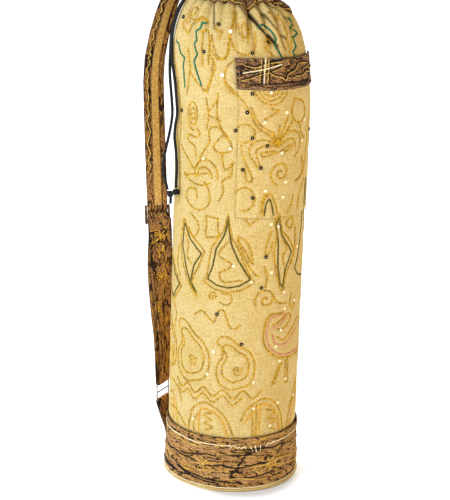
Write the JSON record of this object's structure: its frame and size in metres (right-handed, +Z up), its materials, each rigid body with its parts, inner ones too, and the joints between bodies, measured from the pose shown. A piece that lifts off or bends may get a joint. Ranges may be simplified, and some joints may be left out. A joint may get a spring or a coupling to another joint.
{
  "type": "yoga mat bag",
  "caption": "Tall round cloth bag for a rolled exercise mat, with a gathered drawcord mouth, a patch pocket, a banded foot and an adjustable shoulder strap.",
  "frame": {"origin": "on the floor, under the middle of the round base", "axes": "+Z up along the bag, -Y towards the front, +X to the right of the front, on the pocket's side"},
  "size_m": [0.2039, 0.1682, 0.6211],
  "materials": {
    "straw_cloth": "plain-woven cotton",
    "brown_cloth": "mottled patchwork cotton",
    "ribbon": "flat woven ribbon",
    "black_cord": "braided cord",
    "antique_brass": "dark antique",
    "steel_wire": "drawn wire"
  },
  "bodies": {
    "root": {"body_tube": "straw_cloth", "body_top": "straw_cloth", "base_panel": "straw_cloth", "base_piping": "straw_cloth", "foot_band": "brown_cloth", "pocket_panel": "straw_cloth", "pocket_trim": "brown_cloth", "mouth_casing": "brown_cloth", "drawcord_ring": "black_cord", "drawcord_front": "black_cord", "drawcord_rear": "black_cord", "drawcord_knots": "black_cord", "shoulder_strap": "brown_cloth", "strap_stripe": "ribbon", "strap_tab": "brown_cloth", "strap_slider": "antique_brass", "strap_ring": "steel_wire"}
  },
  "joints": []
}
